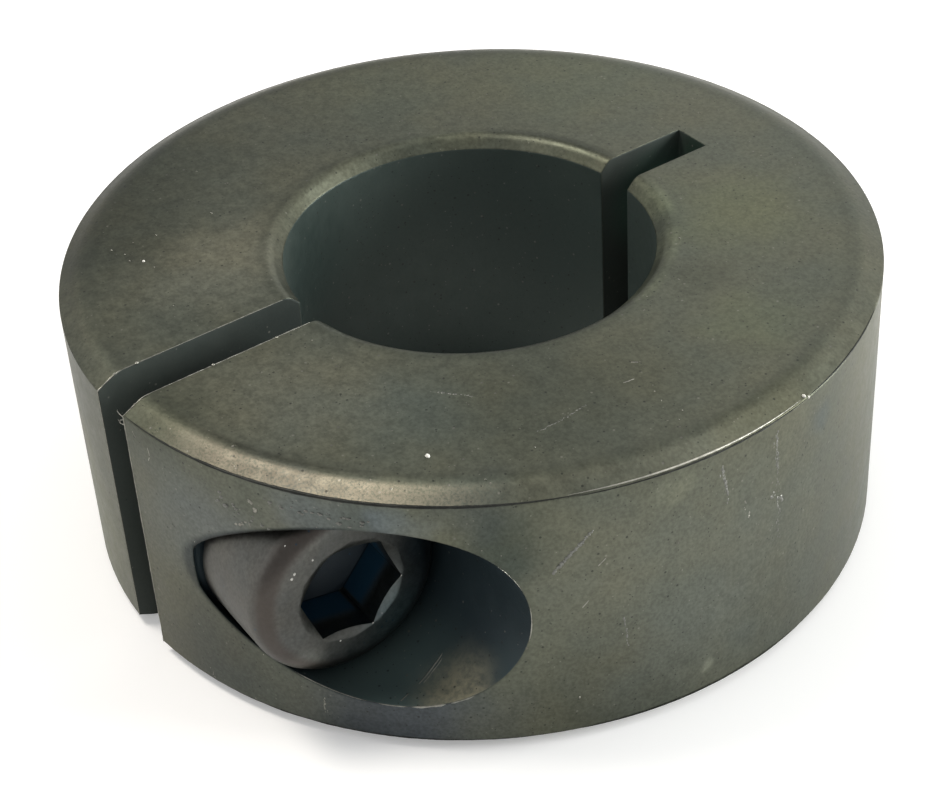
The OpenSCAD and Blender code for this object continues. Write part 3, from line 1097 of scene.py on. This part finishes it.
def screwSteel(s):
    material, tree, shader = newMaterial("screwBlackSteel")
    place = millimetres(tree)
    values = {"Place": place, "Warm": s["warm"], "Cool": s["cool"], "Cloud Scale": 0.35}
    base = useGroup(tree, mottle, values)
    along, radius = fromScrew(tree, place)
    down = calc(tree, "SUBTRACT", s["seat"] + s["headHeight"], along)
    edge = between(tree, radius, s["rustRise"], s["rustFall"])
    edge = overlap(tree, edge, ramp(tree, down, *s["rustDown"]), s["rustShare"])
    color = blendColor(tree, edge, base.outputs["Color"], s["rust"])
    # painted shade and light on the head
    stainsAndShading = [(onFace(s, side, rise), size, tint) for side, rise, size, tint in s["stainsAndShading"]]
    color = stainAndShadeOver(tree, color, place, stainsAndShading)
    # painted shade inside the socket: dark blue walls and a darker floor
    inside = overlap(tree, ramp(tree, radius, *s["socketWall"]), ramp(tree, down, *s["socketDown"]))
    color = blendColor(tree, inside, color, s["deep"])
    up = calc(tree, "SUBTRACT", s["socketDepth"], down)
    color = blendColor(tree, overlap(tree, inside, ramp(tree, up, *s["floorUp"])), color, s["bottom"])
    spots = useGroup(tree, specks, {"Place": place, "Scale": 2.6, "Share": 0.14, "Size": 0.16})
    color = blendColor(tree, overlap(tree, spots.outputs["Dark"], 0.5), color, s["deep"])
    color = blendColor(tree, overlap(tree, spots.outputs["Light"], 0.4), color, s["bare"])
    tree.links.new(color, shader.inputs["Base Color"])
    rough = calc(tree, "ADD", base.outputs["Roughness"], s["roughness"])
    tree.links.new(rough, shader.inputs["Roughness"])
    tree.links.new(calc(tree, "MULTIPLY_ADD", inside, -0.6, 1.0), shader.inputs["Metallic"])
    height = calc(tree, "MULTIPLY_ADD", spots.outputs["Dark"], -1.0, base.outputs["Height"])
    values = {"Height": height, "Strength": 0.25, "Distance": 0.012 * mm}
    tree.links.new(put(tree, "Bump", values).outputs[0], shader.inputs["Normal"])
    return material


def threadDrop(along, angle, pitch):
    phase = (along / pitch - angle / (2 * math.pi)) % 1.0
    return min(1.0, max(0.0, (abs(2 * phase - 1) - 0.14) / 0.64))


def cutAway(piece, points, faces):
    cutter = meshPiece("cutter", points, faces, piece.data.materials[0], None)
    step = piece.modifiers.new("cut", "BOOLEAN")
    step.operation = "DIFFERENCE"
    step.solver = "EXACT"
    step.object = cutter
    bpy.context.view_layer.update()
    shown = piece.evaluated_get(bpy.context.evaluated_depsgraph_get())
    mesh = bpy.data.meshes.new_from_object(shown)
    piece.modifiers.clear()
    piece.data = mesh
    bpy.data.objects.remove(cutter)


def lathe(rows, sides, rise, turn=0.0):
    points = []
    for along, radius in rows:
        points.extend(roundScrew(along, radius, turn + 2 * math.pi * k / sides, rise) for k in range(sides))
    return points, closedTube(len(rows), sides)


def threadedShank(s):
    tip = s["seat"] - s["length"]
    threaded = s["length"] - s["threadStop"]
    rows = int(threaded / s["pitch"] * s["rowsPerTurn"])
    below, fadeLength = s["runOut"]
    points = []
    for i in range(rows + 1):
        along = tip + threaded * i / rows
        fade = min(1.0, max(0.0, (along - s["seat"] + below) / fadeLength))
        for k in range(s["sides"]):
            angle = 2 * math.pi * k / s["sides"]
            radius = s["threadRadius"] - s["threadDepth"] * threadDrop(along, angle, s["pitch"])
            radius = min(radius, s["threadRadius"] - s["tipChamfer"] + along - tip)
            points.append(roundScrew(along, radius + (s["neck"] - radius) * fade, angle))
    return points


# from the neck up to the ring round the socket, as distance along the axis and radius
def headProfile(s):
    seat, top, reach = s["seat"], s["seat"] + s["headHeight"], s["headRadius"]
    profile = [(seat - 0.12, s["neck"] + 0.02), (seat, s["threadRadius"] + 0.01),
               (seat, reach - s["headFoot"]), (seat + s["headFoot"], reach)]
    for i in range(13):
        turn = math.pi / 2 * i / 12
        down = s["headRound"] * (1 - math.sin(turn))
        profile.append((top - down, reach - s["headRound"] * (1 - math.cos(turn))))
    profile.append((top, reach - s["headRound"] - s["faceRings"][0]))
    profile.append((top, s["socketCorner"] + s["faceRings"][1]))
    return profile


def cutSocket(piece, s):
    top = s["seat"] + s["headHeight"]
    floor = top - s["socketDepth"]
    corner = s["socketCorner"]
    flat = corner * math.cos(math.pi / 6)
    slope = math.tan(math.pi / 6)   # of the flared mouth and of the drill point
    hexagon = [(floor, corner), (top + 1, corner)]
    flare = [(top - corner * slope * 0.98, corner * 0.02), (top + 0.2, corner + 0.2 / slope)]
    drill = [(floor - flat * slope * 0.98, flat * 0.02), (floor + 0.002, flat * 0.995)]
    cutAway(piece, *lathe(hexagon, 6, -s["sag"], math.radians(s["socketTurn"])))
    cutAway(piece, *lathe(flare, s["sides"], -s["sag"]))
    cutAway(piece, *lathe(drill, s["sides"], -s["sag"]))


def makeScrew(s):
    points = threadedShank(s) + lathe(headProfile(s), s["sides"], -s["sag"])[0]
    faces = closedTube(len(points) // s["sides"], s["sides"])
    piece = meshPiece("clampScrew", points, faces, screwSteel(s), None)
    cutSocket(piece, s)
    piece.data.polygons.foreach_set("use_smooth", [True] * len(piece.data.polygons))
    piece.data.set_sharp_from_angle(angle=math.radians(s["sharp"]))
    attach(piece, "screw")
    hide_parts("clamp_screw")


def makeHeadSpecks(s):
    points, faces = [], []
    for k, (side, rise, size) in enumerate(s["specks"]):
        past = max(0.0, math.hypot(side, rise) - s["headRadius"] + s["headRound"])
        sink = s["headRound"] - math.sqrt(s["headRound"] ** 2 - past ** 2)
        spot = onFace(s, side, rise - s["sag"]) - screwAlong * sink
        addChip(points, faces, spot, (size * 0.5, size, size * 1.2), k + 81)
    meshPiece("headSpecksAndGlints", points, faces, paleDustAndGlint, "screw")


makeScrew(capScrew)
makeHeadSpecks(capScrew)
print("clamp screw made")


# thread in the tapped jaw, cut only where the screw doesn't fill it

tapThread = {
    "outer": 2.56,
    "depth": 0.38,
    "from": -7.75,              # along the screw's axis
    "short": 0.12,              # stops this far inside the rim
    "step": 0.02,               # of the search for the rim
    "rows": 110,
    "sides": 72,
}


def makeTapThread(s):
    points = []
    sides, rows = s["sides"], s["rows"]
    for i in range(rows + 1):
        for k in range(sides):
            angle = 2 * math.pi * k / sides
            spot = roundScrew(s["from"], s["outer"], angle)
            reach = 0.0
            while math.hypot(spot.x, spot.y) < ringShape["radius"] - s["short"]:
                reach += s["step"]
                spot = roundScrew(s["from"] - reach, s["outer"], angle)
            along = s["from"] - reach * i / rows
            drop = s["depth"] * (1 - threadDrop(along, angle, capScrew["pitch"]))
            ease = min(1.0, 8 * i / rows, 6 * (rows - i) / rows)
            points.append(roundScrew(along, s["outer"] - 0.02 - drop * ease, angle))
    faces = tubeFaces(rows + 1, sides)
    outer = len(points)
    for i in (0, rows):
        for k in range(sides):
            spot = points[i * sides + k]
            along = (spot - screwMiddle).dot(screwAlong)
            points.append(roundScrew(along, s["outer"] + 0.03, 2 * math.pi * k / sides))
    for k in range(sides):
        n = (k + 1) % sides
        faces.append((outer + k, outer + n, n, k))
        faces.append((rows * sides + k, rows * sides + n, outer + sides + n, outer + sides + k))
        faces.append((outer + sides + k, outer + sides + n, outer + n, outer + k))
    meshPiece("tapThread", points, faces, ringBlack, "ring")


makeTapThread(tapThread)
print("tapped thread made")
